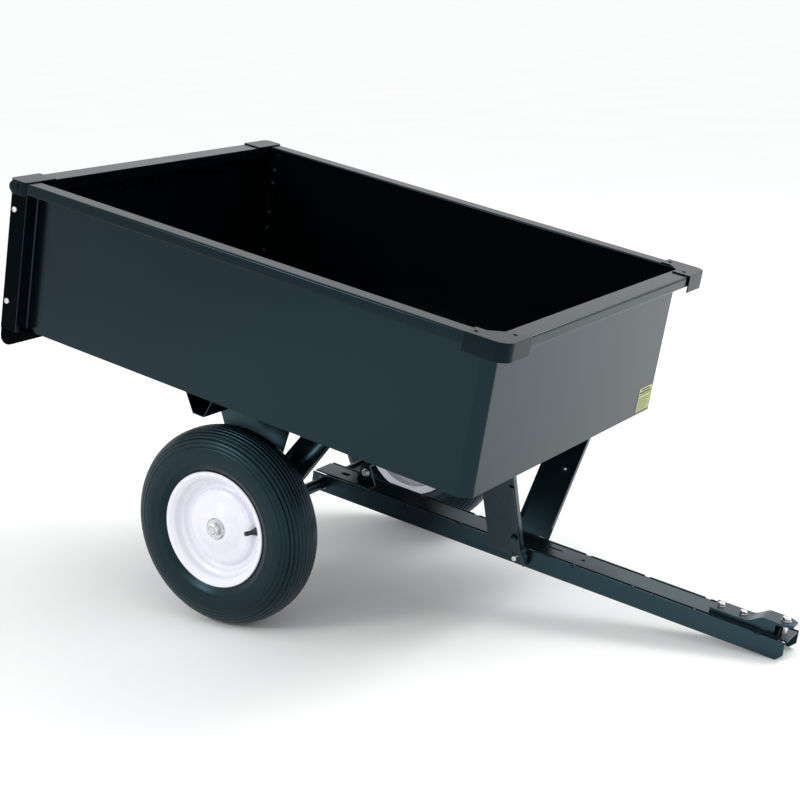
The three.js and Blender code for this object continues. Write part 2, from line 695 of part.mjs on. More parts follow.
addPart(tongueFrame, "tongue_channel", tongue(), blackPaint);
addPart(tongueFrame, "tongue_gusset", tongueGusset(), blackPaint);
addPart(tongueFrame, "gusset_bolt", gussetBolt(), zinc);
addPart(tongueFrame, "stand_stop_pin", stopPin(), zinc);
addPart(tongueFrame, "axle_shaft", axle(), blackPaint);
addPart(tongueFrame, "hitch_strap", hitchStrap(), blackPaint);
["rear", "front"].forEach((place, i) => {
  addPart(tongueFrame, `hitch_bolt_${place}`, hitchBolt(HITCH_BOLT_X[i]), zinc);
  addPart(tongueFrame, `hitch_nut_${place}`, hitchNut(HITCH_BOLT_X[i]), zinc);
});
addPart(tongueFrame, "hitch_pin", hitchPin(), zinc);

for (const [name, side] of SIDES) {
  addPart(tongueFrame, `axle_collar_${name}`, onSide(axleCollar(), side), zinc);
  addPart(tongueFrame, `wheel_washer_${name}`, onSide(axleWasher(), side), zinc);
  addPart(tongueFrame, `wheel_nut_${name}`, onSide(axleNut(), side), zinc);
  addPart(bedFrame, `tyre_${name}`, onSide(tyre(), side), tyreRubber);
  addPart(bedFrame, `wheel_rim_${name}`, onSide(wheelRim(), side), whitePaint);
  addPart(bedFrame, `wheel_hub_${name}`, onSide(wheelHub(), side), whitePaint);
  addPart(bedFrame, `valve_stem_${name}`, onSide(valveStem(), side), valveRubber);
  addPart(bedFrame, `side_panel_${name}`, onSide(sidePanel(), side), blackPaint);
  addPart(bedFrame, `corner_cap_${name}`, onSide(cornerCap(), side), blackCap);
  addPart(bedFrame, `tailgate_guide_${name}`, onSide(gateGuide(), side), blackPaint);
  addPart(bedFrame, `guide_bar_${name}`, onSide(guideBar(), side), blackPaint);
  addPart(bedFrame, `guide_screw_upper_${name}`, onSide(guideScrew(GUIDE_SCREW_Z[1]), side), zinc);
  addPart(bedFrame, `guide_screw_lower_${name}`, onSide(guideScrew(GUIDE_SCREW_Z[0]), side), zinc);
  addPart(bedFrame, `tailgate_cap_${name}`, onSide(gateCap(), side), blackCap);
  addPart(bedFrame, `axle_support_${name}`, onSide(axleSupport(), side), blackPaint);
  addPart(bedFrame, `support_brace_${name}`, onSide(supportBrace(), side), blackPaint);
  addPart(bedFrame, `outrigger_${name}`, onSide(outrigger(), side), blackPaint);
  addPart(bedFrame, `support_bolt_rear_${name}`, onSide(supportBolt(SUPPORT_BOLT_X[0]), side), blackPaint);
  addPart(bedFrame, `support_bolt_front_${name}`, onSide(supportBolt(SUPPORT_BOLT_X[1]), side), blackPaint);
  addPart(bedFrame, `stand_leg_${name}`, onSide(standLeg(), side), blackPaint);
  addPart(bedFrame, `stand_bolt_${name}`, onSide(legBolt(), side), zinc);
}
addPart(bedFrame, "tub_floor", tubFloor(), blackPaint);
addPart(bedFrame, "front_panel", frontPanel(), blackPaint);
addPart(bedFrame, "tailgate", tailgate(), blackPaint);
addPart(bedFrame, "rear_sill", rearSill(), blackPaint);
addPart(bedFrame, "latch_lever", mirrored(latchLever()), blackPaint);
addPart(bedFrame, "latch_bolt", mirrored(latchBolt()), blackPaint);
const decal = box(TUB_FRONT_X + GAP, TUB_FRONT_X + 0.9, 300, 361, 248, 300);
addPart(bedFrame, "safety_decal", decal, decalFilm);

// Stand the cart on the ground, with the origin under the middle of its length.
cart.updateMatrixWorld(true);
const size = new THREE.Box3().setFromObject(cart, true);
cart.position.set(-(size.min.x + size.max.x) / 2, 0, -size.min.z);

export default cart;
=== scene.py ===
"""The looks of a tow-behind dump cart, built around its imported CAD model.

Pieces are drawn in millimetres in one of two tilted frames that share the axle's centre: the bed frame, with
x along the tub's floor, and the tongue frame, with x along the tongue. Left pieces are at +Y and right pieces
at -Y, and each pair is drawn once at +Y and mirrored.
"""

import json
import math

import bmesh
import bpy
from mathutils import Matrix, Quaternion, Vector


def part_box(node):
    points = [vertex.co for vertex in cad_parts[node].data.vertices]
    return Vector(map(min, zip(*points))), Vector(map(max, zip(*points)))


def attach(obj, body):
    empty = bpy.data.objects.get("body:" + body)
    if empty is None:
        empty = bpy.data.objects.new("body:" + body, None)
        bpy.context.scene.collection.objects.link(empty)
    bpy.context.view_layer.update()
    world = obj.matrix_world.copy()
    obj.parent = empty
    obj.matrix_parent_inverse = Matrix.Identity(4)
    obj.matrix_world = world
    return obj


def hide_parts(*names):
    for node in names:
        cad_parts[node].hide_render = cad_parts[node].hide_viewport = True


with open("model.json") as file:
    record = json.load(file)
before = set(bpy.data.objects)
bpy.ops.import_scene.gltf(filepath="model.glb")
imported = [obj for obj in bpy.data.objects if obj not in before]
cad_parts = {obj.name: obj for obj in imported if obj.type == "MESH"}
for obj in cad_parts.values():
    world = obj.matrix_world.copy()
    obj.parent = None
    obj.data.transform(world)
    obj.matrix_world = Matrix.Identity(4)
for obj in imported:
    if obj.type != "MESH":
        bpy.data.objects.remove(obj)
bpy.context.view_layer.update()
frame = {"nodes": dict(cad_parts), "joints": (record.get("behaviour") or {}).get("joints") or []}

MM = 0.001
SIDES = (("left", 1), ("right", -1))
ARC_STEP = math.radians(12)

# ---- the two tilted frames ----

joints = {j["name"]: j for j in frame["joints"]}
AXLE = Vector(joints["bed_dump"]["pos_m"])


def tilted(up):
    """The frame at the axle whose z axis is up, and whose y axis is the cart's."""
    up = Vector(up).normalized()
    across = Vector((0, 1, 0))
    turned = Matrix((across.cross(up), across, up)).transposed().to_4x4()
    return Matrix.Translation(AXLE) @ turned


BED = tilted(joints["tailgate_slide"]["axis"])
TONGUE = tilted(joints["hitch_pin_lift"]["axis"])


def span(node, place):
    """The lowest and highest corners of a CAD node in a tilted frame, in millimetres."""
    inverse = place.inverted()
    points = [inverse @ v.co / MM for v in frame["nodes"][node].data.vertices]
    low = Vector(min(p[i] for p in points) for i in range(3))
    high = Vector(max(p[i] for p in points) for i in range(3))
    return low, high


# ---- materials ----


COOL = (0.40, 0.80, 1.0)  # the blue-green cast of the shine on everything black
SCUFF_GREY = (0.10, 0.105, 0.11)
DUST = (0.28, 0.27, 0.25)
ROAD_GRIME = (0.42, 0.42, 0.42)
RUBBER_BLOOM = (0.13, 0.13, 0.125)
RING_WAVES = 5200.0  # radians per metre, which puts the tyre's fine rings 1.2 mm apart


def new_material(name, **sockets):
    """A Principled material, with sockets such as Roughness=0.4 set on the shader itself."""
    material = bpy.data.materials.new(name)
    material.use_nodes = True
    shader = material.node_tree.nodes["Principled BSDF"]
    for socket, value in sockets.items():
        shader.inputs[socket.replace("_", " ")].default_value = value
    return material, material.node_tree, shader


def node(tree, kind, **settings):
    made = tree.nodes.new("ShaderNode" + kind)
    for key, value in settings.items():
        if hasattr(made, key):
            setattr(made, key, value)
        else:
            made.inputs[key.replace("_", " ")].default_value = value
    return made


def object_noise(tree, scale, detail=3.0, roughness=0.5):
    """Noise in the piece's own coordinates, in cycles per metre."""
    place = node(tree, "TexCoord")
    noise = node(tree, "TexNoise", Scale=scale, Detail=detail, Roughness=roughness)
    tree.links.new(place.outputs["Object"], noise.inputs["Vector"])
    return noise.outputs["Fac"]


def remap(tree, value, low, high, to_low, to_high):
    made = node(tree, "MapRange", From_Min=low, From_Max=high, To_Min=to_low, To_Max=to_high)
    tree.links.new(value, made.inputs["Value"])
    return made.outputs["Result"]


def mixed(tree, factor, first, second):
    """A colour between two, each a colour or a socket."""
    made = node(tree, "Mix", data_type="RGBA")
    tree.links.new(factor, made.inputs["Factor"])
    for socket, colour in (("A", first), ("B", second)):
        target = [i for i in made.inputs if i.name == socket and i.type == "RGBA"][0]
        if isinstance(colour, bpy.types.NodeSocket):
            tree.links.new(colour, target)
        else:
            target.default_value = (*colour, 1)
    return [o for o in made.outputs if o.type == "RGBA"][0]


def maths(tree, operation, first, second):
    made = node(tree, "Math", operation=operation)
    for socket, value in zip(made.inputs, (first, second)):
        if isinstance(value, bpy.types.NodeSocket):
            tree.links.new(value, socket)
        else:
            socket.default_value = value
    return made.outputs[0]


def bumps(tree, shader, *layers):
    """Stacks bump maps of (height socket, distance in metres, strength) on the shader."""
    normal = None
    for height, distance, strength in layers:
        bump = node(tree, "Bump", Distance=distance, Strength=strength)
        tree.links.new(height, bump.inputs["Height"])
        if normal:
            tree.links.new(normal, bump.inputs["Normal"])
        normal = bump.outputs["Normal"]
    tree.links.new(normal, shader.inputs["Normal"])


def settled_dust(tree, amount):
    """How much dust lies there: most on faces that look up, in soft patches."""
    geometry = node(tree, "NewGeometry")
    split = node(tree, "SeparateXYZ")
    tree.links.new(geometry.outputs["Normal"], split.inputs[0])
    facing = remap(tree, split.outputs["Z"], 0.3, 1.0, 0.04, 1.0)
    patches = remap(tree, object_noise(tree, 5, 5, 0.6), 0.35, 0.75, 0.2 * amount, amount)
    return maths(tree, "MULTIPLY", facing, patches)


def powder_coat(name, tones, roughness, shine, peel):
    """Black powder coat: a fine orange-peel surface with a few pale scuffs and a trace of dust.
    tones are its darker and lighter colour, and peel is how strong the orange peel is."""
    material, tree, shader = new_material(
        name, IOR=1.5, Specular_IOR_Level=shine, Specular_Tint=(*COOL, 1),
    )
    tone = remap(tree, object_noise(tree, 5, 4), 0.35, 0.68, 0, 1)
    paint = mixed(tree, tone, *tones)
    worn = remap(tree, object_noise(tree, 35, 5, 0.65), 0.72, 0.82, 0.0, 0.12)
    paint = mixed(tree, worn, paint, SCUFF_GREY)
    dusty = settled_dust(tree, 0.02)
    paint = mixed(tree, dusty, paint, DUST)
    tree.links.new(paint, shader.inputs["Base Color"])
    blotches = remap(tree, object_noise(tree, 7, 3), 0.3, 0.7, roughness - 0.01, roughness + 0.015)
    tree.links.new(maths(tree, "ADD", blotches, dusty), shader.inputs["Roughness"])
    bumps(
        tree, shader,
        (object_noise(tree, 3.2, 1), 0.002, 0.06),
        (object_noise(tree, 520, 2), 0.0002, peel),
    )
    return material


def zinc_plate():
    """Bright zinc on steel, with faint streaks, dull patches and a trace of yellow."""
    material, tree, shader = new_material("zinc_plate", Metallic=1.0)
    tone = remap(tree, object_noise(tree, 120, 4), 0.3, 0.7, 0, 1)
    plate = mixed(tree, tone, (0.60, 0.61, 0.62), (0.78, 0.78, 0.76))
    tree.links.new(plate, shader.inputs["Base Color"])
    patches = remap(tree, object_noise(tree, 260, 3), 0.3, 0.75, 0.21, 0.41)
    tree.links.new(patches, shader.inputs["Roughness"])
    bumps(tree, shader, (object_noise(tree, 900, 3), 0.0002, 0.35))
    return material


def enamel():
    """Gloss white enamel on the pressed rims, a little grey with road dust."""
    material, tree, shader = new_material(
        "white_enamel", IOR=1.5, Coat_Weight=0.6, Coat_Roughness=0.06,
    )
    tone = remap(tree, object_noise(tree, 9, 5), 0.3, 0.75, 0, 1)
    paint = mixed(tree, tone, (0.80, 0.805, 0.885), (0.76, 0.765, 0.845))
    grime = remap(tree, object_noise(tree, 24, 5, 0.6), 0.55, 0.85, 0, 0.05)
    paint = mixed(tree, grime, paint, ROAD_GRIME)
    tree.links.new(paint, shader.inputs["Base Color"])
    gloss = remap(tree, object_noise(tree, 30, 3), 0.3, 0.7, 0.20, 0.30)
    tree.links.new(gloss, shader.inputs["Roughness"])
    bumps(tree, shader, (object_noise(tree, 260, 2), 0.0003, 0.10))
    return material


def tyre_rubber():
    """Moulded black rubber, with very fine rings round the wheel and a dusty bloom."""
    material, tree, shader = new_material(
        "tyre_rubber", IOR=1.5, Specular_IOR_Level=0.42, Specular_Tint=(*COOL, 1),
    )
    place = node(tree, "TexCoord")
    split = node(tree, "SeparateXYZ")
    tree.links.new(place.outputs["Object"], split.inputs[0])
    squares = [maths(tree, "MULTIPLY", split.outputs[i], split.outputs[i]) for i in ("X", "Z")]
    radius = maths(tree, "POWER", maths(tree, "ADD", *squares), 0.5)
    rings = maths(tree, "SINE", maths(tree, "MULTIPLY", radius, RING_WAVES), 0.0)
    tone = remap(tree, object_noise(tree, 12, 5), 0.3, 0.72, 0, 1)
    rubber = mixed(tree, tone, (0.0008, 0.0020, 0.0028), (0.0018, 0.0036, 0.0048))
    bloom = remap(tree, object_noise(tree, 40, 5, 0.7), 0.5, 0.85, 0, 0.02)
    rubber = mixed(tree, bloom, rubber, RUBBER_BLOOM)
    tree.links.new(rubber, shader.inputs["Base Color"])
    gloss = remap(tree, object_noise(tree, 22, 4), 0.3, 0.7, 0.26, 0.34)
    tree.links.new(gloss, shader.inputs["Roughness"])
    bumps(
        tree, shader,
        (rings, 0.0002, 0.12),
        (object_noise(tree, 700, 3), 0.0004, 0.22),
    )
    return material


def soft_rubber():
    """The valve's smoother black rubber."""
    material, tree, shader = new_material("valve_rubber", IOR=1.5)
    tone = remap(tree, object_noise(tree, 200, 3), 0.3, 0.7, 0, 1)
    rubber = mixed(tree, tone, (0.006, 0.007, 0.008), (0.014, 0.016, 0.018))
    tree.links.new(rubber, shader.inputs["Base Color"])
    gloss = remap(tree, object_noise(tree, 300, 2), 0.3, 0.7, 0.32, 0.45)
    tree.links.new(gloss, shader.inputs["Roughness"])
    bumps(tree, shader, (object_noise(tree, 1500, 2), 0.0002, 0.3))
    return material


def film(name, first, second, roughness):
    """Printed plastic film, slightly uneven in tone and lightly scuffed."""
    material, tree, shader = new_material(name, IOR=1.46)
    tone = remap(tree, object_noise(tree, 90, 4), 0.3, 0.7, 0, 1)
    tree.links.new(mixed(tree, tone, first, second), shader.inputs["Base Color"])
    scuffs = remap(tree, object_noise(tree, 400, 3), 0.35, 0.75, roughness, roughness + 0.15)
    tree.links.new(scuffs, shader.inputs["Roughness"])
    bumps(tree, shader, (object_noise(tree, 1200, 2), 0.0001, 0.3))
    return material


PANEL_TONES = (0.0003, 0.0008, 0.0012), (0.0006, 0.0012, 0.0018)
FRAME_TONES = (0.0004, 0.0010, 0.0014), (0.0012, 0.0020, 0.0026)
CAP_TONES = (0.0005, 0.0010, 0.0015), (0.0010, 0.0018, 0.0024)

PAINT = powder_coat("black_powder_coat", PANEL_TONES, roughness=0.20, shine=0.40, peel=0.04)
FRAME_PAINT = powder_coat("black_frame_paint", FRAME_TONES, roughness=0.27, shine=0.82, peel=0.08)
DULL_PAINT = powder_coat("black_dull_paint", FRAME_TONES, roughness=0.40, shine=0.02, peel=0.08)
RAIL_PAINT = powder_coat("black_rail_paint", PANEL_TONES, roughness=0.19, shine=0.30, peel=0.04)
CAP = powder_coat("black_moulded_cap", CAP_TONES, roughness=0.18, shine=0.20, peel=0.12)
ZINC = zinc_plate()
ENAMEL = enamel()
TYRE = tyre_rubber()
VALVE = soft_rubber()
DECAL = film("decal_film", (0.36, 0.40, 0.13), (0.42, 0.46, 0.17), 0.35)
DECAL_INK = film("decal_ink", (0.006, 0.008, 0.006), (0.015, 0.017, 0.012), 0.45)


# ---- outlines, in millimetres ----


def rounded(points, radius, closed=False):
    """The line through the points, with an arc at each corner.
    radius is one number, or one for each point."""
    points = [Vector(p) for p in points]
    count = len(points)
    radii = radius if isinstance(radius, (list, tuple)) else [radius] * count
    line = []
    for i, corner in enumerate(points):
        if radii[i] == 0 or (not closed and i in (0, count - 1)):
            line.append(corner)
            continue
        back = (points[i - 1] - corner).normalized()
        on = (points[(i + 1) % count] - corner).normalized()
        turn = math.pi - back.angle(on)
        if turn < 1e-3:
            line.append(corner)
            continue
        centre = corner + (back + on).normalized() * radii[i] / math.cos(turn / 2)
        start = corner + back * radii[i] * math.tan(turn / 2) - centre
        way = 1 if on.x * back.y - on.y * back.x > 0 else -1
        steps = max(2, math.ceil(turn / ARC_STEP))
        for k in range(steps + 1):
            angle = way * turn * k / steps
            c, s = math.cos(angle), math.sin(angle)
            line.append(centre + Vector((start.x * c - start.y * s, start.x * s + start.y * c)))
    return line


def sheet_outline(path, thickness):
    """The closed outline of a sheet of that thickness, whose middle follows the path."""
    path = [Vector(p) for p in path]
    left, right = [], []
    for i, p in enumerate(path):
        back = (p - path[i - 1]).normalized() if i else (path[1] - p).normalized()
        on = (path[i + 1] - p).normalized() if i < len(path) - 1 else back
        along = (back + on).normalized()
        reach = thickness / 2 / max(0.3, along.dot(on))
        across = Vector((-along.y, along.x)) * reach
        left.append(p + across)
        right.append(p - across)
    return left + right[::-1]


def circle(x, y, radius, sides=32):
    steps = (2 * math.pi * i / sides for i in range(sides))
    return [(x + radius * math.cos(a), y + radius * math.sin(a)) for a in steps]


# ---- solids, in millimetres ----

# What each drawing plane makes of an outline's point and the height above it.
PLANES = {
    "xy": lambda u, v, w: (u, v, w),
    "xz": lambda u, v, w: (u, w, v),
    "yz": lambda u, v, w: (w, u, v),
}


def prism(outline, low, high, plane="xy", holes=()):
    """A closed outline, with any holes, carried straight from low to high across its plane."""
    bm = bmesh.new()
    to = PLANES[plane]
    loops = []
    for line in (outline, *holes):
        verts = [bm.verts.new(to(p[0], p[1], low)) for p in line]
        loops.append([bm.edges.new((a, b)) for a, b in zip(verts, verts[1:] + verts[:1])])
    if holes:
        edges = [e for loop in loops for e in loop]
        bmesh.ops.triangle_fill(bm, use_beauty=True, use_dissolve=False, edges=edges)
    else:
        bm.faces.new([v for v in bm.verts])
    up = Vector(to(0, 0, high - low))
    made = bmesh.ops.extrude_face_region(bm, geom=bm.faces[:])
    bmesh.ops.translate(bm, verts=[v for v in made["geom"] if isinstance(v, bmesh.types.BMVert)], vec=up)
    return bm


def folded(path, radius, thickness, low, high, plane):
    """A folded sheet: a path with rounded bends, carried across its plane."""
    return prism(sheet_outline(rounded(path, radius), thickness), low, high, plane)


def block(low, high):
    """A straight-edged plate or bar between two corners, which is bevelled later."""
    (x0, y0, z0), (x1, y1, z1) = low, high
    return prism([(x0, y0), (x1, y0), (x1, y1), (x0, y1)], z0, z1)


def lathe(profile, segments=96, ripple=None):
    """A closed profile of (radius, y) points turned round the Y axis.
    ripple(point, angle) is an optional factor for the radius."""
    bm = bmesh.new()
    rings = []
    for i in range(segments):
        a = 2 * math.pi * i / segments
        ring = []
        for p in profile:
            r = p[0] * (ripple(p, a) if ripple else 1)
            ring.append(bm.verts.new((r * math.cos(a), p[1], r * math.sin(a))))
        rings.append(ring)
    for a, b in zip(rings, rings[1:] + rings[:1]):
        for k in range(len(profile)):
            n = (k + 1) % len(profile)
            bm.faces.new((a[k], a[n], b[n], b[k]))
    bmesh.ops.remove_doubles(bm, verts=bm.verts, dist=1e-5)
    bmesh.ops.dissolve_degenerate(bm, edges=bm.edges, dist=1e-6)
    return bm


def dome(radius, height, y0=0.0, skirt=0.6, segments=32):
    """A low domed head that stands on y = y0."""
    profile = [(0, y0), (radius, y0), (radius, y0 + skirt)]
    steps = 6
    for k in range(1, steps + 1):
        a = math.pi / 2 * k / steps
        profile.append((radius * math.cos(a), y0 + skirt + (height - skirt) * math.sin(a)))
    return lathe(profile, segments)


def hexagon(across, height, hole=0.0, y0=0.0):
    """A hexagon head or nut that stands on y = y0, its top corners turned down to a cone."""
    lead_in = 0.6
    apothem = across / 2
    flat = apothem * 0.94
    bm = bmesh.new()
    rings = []
    around = 6 * 6
    for i in range(around):
        a = 2 * math.pi * i / around
        off = (a + math.pi / 6) % (math.pi / 3) - math.pi / 6
        r = apothem / math.cos(off)
        slope = (r - flat) * math.tan(math.radians(30))
        inner = [(0.01, height), (0.01, 0)]
        if hole:
            inner = [(hole + lead_in, height), (hole, height - lead_in), (hole, 0)]
        ring = [(r, 0.25 * slope), (r, height - slope), (flat, height), *inner, (flat, 0)]
        rings.append([bm.verts.new((q * math.cos(a), y0 + h, q * math.sin(a))) for q, h in ring])
    size = len(rings[0])
    for a, b in zip(rings, rings[1:] + rings[:1]):
        for k in range(size):
            n = (k + 1) % size
            bm.faces.new((a[k], a[n], b[n], b[k]))
    bmesh.ops.remove_doubles(bm, verts=bm.verts, dist=0.02)
    return bm


def washer(inner, outer, y0, y1):
    """A flat ring from y0 to y1 whose edges are broken by a third of its thickness."""
    edge = (y1 - y0) * 0.3
    return lathe([
        (inner, y0), (outer - edge, y0), (outer, y0 + edge), (outer, y1 - edge), (outer - edge, y1),
        (inner + edge, y1), (inner, y1 - edge),
    ], 64)


def threaded(radius, y0, y1, pitch=1.6):
    """A rod along Y with ridges at the thread's pitch and a chamfered end at y1."""
    depth, chamfer = 0.5, 1.6
    profile = [(0, y0), (radius, y0)]
    turns = int((y1 - y0 - 2) / pitch)
    for k in range(turns):
        y = y0 + pitch * k
        profile += [(radius, y + 0.2 * pitch), (radius - depth, y + 0.5 * pitch), (radius, y + 0.8 * pitch)]
    profile += [(radius, y1 - chamfer), (radius - chamfer, y1), (0, y1)]
    return lathe(profile, 40)


def moved(bm, matrix):
    """The same solid, carried by the matrix."""
    bmesh.ops.transform(bm, matrix=matrix, verts=bm.verts)
    return bm


def at(x, y, z):
    return Matrix.Translation((x, y, z))


TO_Z = Matrix.Rotation(math.pi / 2, 4, "X")  # turns a piece drawn along +Y to stand along +Z
FLIP = Matrix.Rotation(math.pi, 4, "X")  # turns a piece drawn along +Y to point along -Y


# ---- finished pieces ----


def soften(bm, width, segments=2, sharper_than=28):
    """Rounds the edges where two faces meet at an angle."""
    sharp = [
        e for e in bm.edges
        if len(e.link_faces) == 2 and e.calc_face_angle(0) > math.radians(sharper_than)
    ]
    if sharp and width:
        bmesh.ops.bevel(
            bm, geom=sharp, offset=width, segments=segments, profile=0.5,
            affect="EDGES", clamp_overlap=True,
        )


def finish_piece(name, bm, place, body, material, nodes, angle=40):
    """Turns a bmesh in metres into a piece that rides on its body, with its axes along the world's."""
    bmesh.ops.transform(bm, matrix=place.to_3x3().to_4x4(), verts=bm.verts)
    bmesh.ops.recalc_face_normals(bm, faces=bm.faces)
    mesh = bpy.data.meshes.new(name)
    bm.to_mesh(mesh)
    bm.free()
    mesh.shade_smooth()
    mesh.set_sharp_from_angle(angle=math.radians(angle))
    mesh.materials.append(material)
    piece = bpy.data.objects.new(name, mesh)
    bpy.context.scene.collection.objects.link(piece)
    piece.matrix_world = Matrix.Translation(place.to_translation())
    weighted = piece.modifiers.new("weighted", "WEIGHTED_NORMAL")
    weighted.keep_sharp = True
    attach(piece, body)
    if nodes:
        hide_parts(*nodes)


def make(name, parts, place, body, material, nodes=(), side=1, bevel=0.5, segments=2, angle=40):
    """Joins solids drawn in millimetres at +Y into one piece; side -1 mirrors it."""
    bm = bmesh.new()
    for part in parts:
        bmesh.ops.recalc_face_normals(part, faces=part.faces)
        soften(part, bevel, segments)
        carrier = bpy.data.meshes.new("carrier")
        part.to_mesh(carrier)
        part.free()
        bm.from_mesh(carrier)
        bpy.data.meshes.remove(carrier)
    bmesh.ops.scale(bm, vec=(MM, side * MM, MM), verts=bm.verts)
    finish_piece(name, bm, place, body, material, nodes, angle)


def softened(node_name, place, body, material, width=0.7, segments=2, extra=(), side=1):
    """A CAD node redrawn with rounded edges, and any extra solids that belong to it."""
    bm = bmesh.new()
    bm.from_mesh(frame["nodes"][node_name].data)
    to_millimetres = Matrix.Diagonal((1 / MM, side / MM, 1 / MM, 1))
    bmesh.ops.transform(bm, matrix=to_millimetres @ place.inverted(), verts=bm.verts)
    bmesh.ops.remove_doubles(bm, verts=bm.verts, dist=0.01)
    bmesh.ops.dissolve_limit(bm, angle_limit=math.radians(1), verts=bm.verts, edges=bm.edges)
    soften(bm, width, segments)
    make(f"{node_name}_finished", [bm, *extra], place, body, material, [node_name], side, 0.0, angle=35)


# ---- wheels ----


def tyre_profile(y_mid, half_width, radius, bead_radius):
    """Round shoulders, a ribbed tread that runs down over them, and beads that grip the rim."""
    crown, squareness, steps = 50.0, 0.80, 260
    groove_first, groove_gap, groove_count = 9.0, 8.6, 8
    wide_grooves = 6  # of groove_count each way from the middle; the ones beyond are narrower and shallower
    rib_height = 0.18
    raw = []
    length = 0.0
    for i in range(steps + 1):
        a = -math.pi / 2 + math.pi * i / steps
        c, s = math.cos(a), math.sin(a)
        r = radius - 1.0 - crown + crown * abs(c) ** squareness
        y = half_width * math.copysign(abs(s) ** squareness, s)
        point = Vector((r, y))
        if raw:
            length += (point - raw[-1][0]).length
        raw.append((point, length))
    middle = length / 2
    outer = []
    for i, (point, s) in enumerate(raw):
        ahead = raw[min(i + 1, steps)][0] - raw[max(i - 1, 0)][0]
        out = Vector((ahead.y, -ahead.x)).normalized()
        if out.x < 0:
            out = -out
        from_middle = abs(s - middle)
        depth = 0.0
        for k in range(groove_count):
            centre = groove_first * 0.5 + groove_gap * k
            width, deep = (0.95, 1.7) if k < wide_grooves else (0.7, 0.9)
            depth += deep * math.exp(-(((from_middle - centre) / width) ** 2))
        rib = rib_height * math.cos(2 * math.pi * (from_middle - groove_first * 0.5) / groove_gap + math.pi)
        rib *= 1.0 if from_middle < groove_first + groove_gap * (groove_count - 1) else 0.0
        surface = point - out * (depth - rib)
        outer.append((surface.x, y_mid + surface.y))
    high = outer[-1][1] - y_mid
    wall = [
        (radius - 58, y_mid + high - 0.4), (radius - 64, y_mid + high - 1.6),
        (radius - 66, y_mid + high - 0.9), (radius - 68, y_mid + high - 1.8),
        (radius - 75, y_mid + high - 4.5), (bead_radius + 19, y_mid + 43),
        (bead_radius + 15.2, y_mid + 41.6), (bead_radius + 15.0, y_mid + 38), (bead_radius + 1, y_mid + 36),
    ]
    other = [(r, 2 * y_mid - y) for r, y in reversed(wall)]
    return outer + wall + other


def vent_pips(y_mid, half_width):
    """The small pips that a mould's vents leave on the sidewall."""
    count, first_angle, radius, stagger = 10, 11, 148, 4
    pips = []
    for k in range(count):
        a = math.radians(36 * k + first_angle)
        r = radius + stagger * (k % 3)
        pip = dome(0.9, 1.2, y_mid + half_width - 1.4, 0.3, 10)
        pips.append(moved(pip, at(r * math.cos(a), 0, r * math.sin(a))))
    return pips


# The section of a pressed rim, anticlockwise from the inner flange: (radius, y from the wheel's middle,
# bend radius). It has a rolled flange at the outer side, a deep well, and a stepped, crowned disc.
RIM_SECTION = (
    (98, -44, 1.2), (115, -44, 1.5), (115, -40, 1.5), (102, -39, 2), (101, -24, 4), (90, -17, 5), (90, 17, 5),
    (101, 24, 4), (102, 39, 3), (112, 40, 2), (115.2, 42.5, 1.5), (112.6, 45, 1.4), (107, 43.6, 4),
    (99, 37, 7), (97, 25, 6), (90, 21, 4), (85.5, 13, 6), (77.5, 12, 5), (73.5, 20, 4), (67, 23.5, 12),
    (52, 26.5, 25), (30, 35.5, 10), (21.3, 36, 0.8), (21.3, 32.5, 0.5), (30, 32.5, 8), (52, 23.5, 22),
    (66, 20.5, 10), (71, 17, 4), (74, 9, 5), (87, 9.5, 3), (87.5, -17, 5), (98, -25, 4),
)


def rim_profile(y_mid):
    points = [(radius, y_mid + y) for radius, y, _ in RIM_SECTION]
    return rounded(points, [bend for _, _, bend in RIM_SECTION], closed=True)


def valve(place_x, place_z):
    """A short rubber valve that leans in towards the hub, with a ribbed screw cap."""
    foot_y, outward, lean_in, cap_ribs = 381.5, 1.09, 26, 16
    body = lathe([
        (0, -3), (7.6, -3), (8.2, -1.2), (7.4, 0.4), (5.6, 2), (5.0, 8), (4.4, 9), (4.2, 11),
        (3.2, 11.6), (3.2, 13), (0, 13),
    ], 32)
    cap = lathe(
        [(0, 12.4), (4.1, 12.4), (4.3, 13), (4.3, 21), (3.4, 22.4), (0, 22.6)], 64,
        lambda p, a: 1 + (0.05 * math.cos(cap_ribs * a) if p[0] > 4 else 0),
    )
    angle = math.atan2(place_z, place_x)
    lean = Matrix.Rotation(math.radians(lean_in), 4, Vector((-math.sin(angle), 0, math.cos(angle))))
    foot = at(place_x * outward, foot_y, place_z * outward)
    return [moved(part, foot @ lean) for part in (body, cap)]


tyre_low, tyre_high = span("tyre_left", BED)
wheel_y = (tyre_low.y + tyre_high.y) / 2
tyre_radius = tyre_high.x
tyre_half = (tyre_high.y - tyre_low.y) / 2
hub_low, hub_high = span("wheel_hub_left", BED)
nut_low, nut_high = span("wheel_nut_left", TONGUE)
wash_low, wash_high = span("wheel_washer_left", TONGUE)
collar_low, collar_high = span("axle_collar_left", TONGUE)
valve_low, valve_high = span("valve_stem_left", BED)
VALVE_X = (valve_low.x + valve_high.x) / 2
VALVE_Z = (valve_low.z + valve_high.z) / 2
BEAD_RADIUS = 100
HUB_BORE, HUB_RADIUS, HUB_MOUTH = 13, 21, 18.5
COLLAR_BORE = 12.8
AXLE_RADIUS, AXLE_END_RADIUS = 12.5, 8
NUT_ACROSS, NUT_BORE = 24, 8.1
WASHER_BORE, WASHER_RADIUS = 8.2, 19

